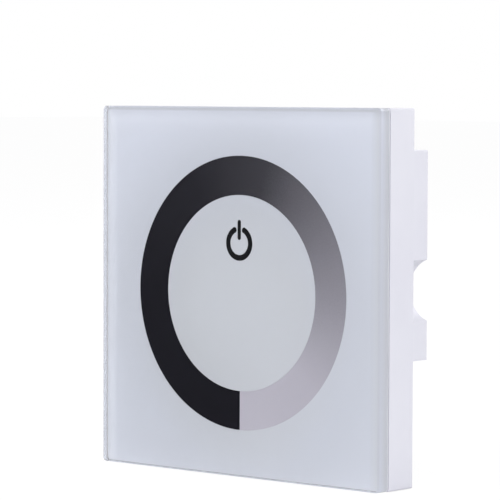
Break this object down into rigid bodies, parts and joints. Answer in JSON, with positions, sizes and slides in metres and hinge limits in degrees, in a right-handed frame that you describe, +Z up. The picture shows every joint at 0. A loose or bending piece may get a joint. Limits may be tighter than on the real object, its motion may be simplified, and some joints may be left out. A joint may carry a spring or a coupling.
{
  "type": "touch panel dimmer",
  "caption": "Square glass-fronted wall dimmer with a touch ring and power symbol, a deep white frame and a stepped rear housing for a wall box.",
  "frame": {"origin": "centre of the square panel on the wall plane, which is the back face of the mounting plate", "axes": "+X right as seen from the room, +Y into the wall, +Z up"},
  "size_m": [0.086, 0.0372, 0.086],
  "materials": {
    "glass": "clear float glass, polished, ground arrises",
    "white_print": "white printed layer",
    "dial_print": "ring print, black to pale grey clockwise",
    "symbol_print": "black print",
    "tape": "white foam tape",
    "white_abs": "satin moulded white",
    "plate_plastic": "moulded white",
    "touch_board": "green solder mask",
    "power_board": "green solder mask",
    "copper": "gold-flashed copper",
    "chip": "moulded black epoxy with tinned legs",
    "chip_resistor": "black film with tinned ends",
    "chip_capacitor": "tan ceramic with tinned ends",
    "black_plastic": "moulded black",
    "pin_metal": "gold-flashed brass",
    "contact_metal": "tinned brass",
    "can": "sleeved aluminium can",
    "ferrite": "dark ferrite",
    "terminal_green": "moulded green",
    "zinc_steel": "zinc-plated steel"
  },
  "bodies": {
    "base": {"mounting_plate": "plate_plastic", "rear_housing": "white_abs", "power_board": "power_board", "socket_header": "black_plastic", "socket_contacts": "contact_metal", "filter_capacitor_1": "can", "filter_capacitor_2": "can", "power_inductor": "ferrite", "power_transistor_1": "chip", "power_transistor_2": "chip", "protection_diode": "chip", "voltage_regulator": "chip", "microcontroller": "chip", "board_capacitors": "chip_capacitor", "board_resistors": "chip_resistor", "input_terminal_block": "terminal_green", "output_terminal_block": "terminal_green", "terminal_contacts": "contact_metal", "board_screws": "zinc_steel", "housing_screws": "zinc_steel"},
    "front_panel": {"glass_panel": "glass", "dial_ring_print": "dial_print", "power_symbol_print": "symbol_print", "white_backing_film": "white_print", "adhesive_tape": "tape", "front_frame": "white_abs", "touch_board": "touch_board", "touch_electrodes": "copper", "touch_controller": "chip", "touch_board_capacitors": "chip_capacitor", "touch_board_resistors": "chip_resistor", "pin_header": "black_plastic", "header_pins": "pin_metal"},
    "terminal_screw_1": {"terminal_screw_1": "zinc_steel"},
    "clamp_cage_1": {"clamp_cage_1": "zinc_steel"},
    "terminal_screw_2": {"terminal_screw_2": "zinc_steel"},
    "clamp_cage_2": {"clamp_cage_2": "zinc_steel"},
    "terminal_screw_3": {"terminal_screw_3": "zinc_steel"},
    "clamp_cage_3": {"clamp_cage_3": "zinc_steel"},
    "terminal_screw_4": {"terminal_screw_4": "zinc_steel"},
    "clamp_cage_4": {"clamp_cage_4": "zinc_steel"}
  },
  "joints": [
    {"name": "front_panel_pull", "type": "slide", "parent": "base", "child": "front_panel", "axis": [0, -1, 0], "range_m": [0, 0.03]},
    {"name": "terminal_screw_1_turn", "type": "hinge", "parent": "base", "child": "terminal_screw_1", "pos_m": [-0.01454, 0.0169, -0.0245], "axis": [0, 1, 0], "range_deg": [0, 1442]},
    {"name": "clamp_cage_1_travel", "type": "slide", "parent": "base", "child": "clamp_cage_1", "axis": [0, -1, 0], "range_m": [0, 0.0018]},
    {"name": "terminal_screw_2_turn", "type": "hinge", "parent": "base", "child": "terminal_screw_2", "pos_m": [-0.00946, 0.0169, -0.0245], "axis": [0, 1, 0], "range_deg": [0, 1442]},
    {"name": "clamp_cage_2_travel", "type": "slide", "parent": "base", "child": "clamp_cage_2", "axis": [0, -1, 0], "range_m": [0, 0.0018]},
    {"name": "terminal_screw_3_turn", "type": "hinge", "parent": "base", "child": "terminal_screw_3", "pos_m": [0.00946, 0.0169, -0.0245], "axis": [0, 1, 0], "range_deg": [0, 1442]},
    {"name": "clamp_cage_3_travel", "type": "slide", "parent": "base", "child": "clamp_cage_3", "axis": [0, -1, 0], "range_m": [0, 0.0018]},
    {"name": "terminal_screw_4_turn", "type": "hinge", "parent": "base", "child": "terminal_screw_4", "pos_m": [0.01454, 0.0169, -0.0245], "axis": [0, 1, 0], "range_deg": [0, 1442]},
    {"name": "clamp_cage_4_travel", "type": "slide", "parent": "base", "child": "clamp_cage_4", "axis": [0, -1, 0], "range_m": [0, 0.0018]}
  ],
  "couplings": [
    {"joint": "terminal_screw_1_turn", "follows": "clamp_cage_1_travel", "rad_per_m": 13963},
    {"joint": "terminal_screw_2_turn", "follows": "clamp_cage_2_travel", "rad_per_m": 13963},
    {"joint": "terminal_screw_3_turn", "follows": "clamp_cage_3_travel", "rad_per_m": 13963},
    {"joint": "terminal_screw_4_turn", "follows": "clamp_cage_4_travel", "rad_per_m": 13963}
  ]
}
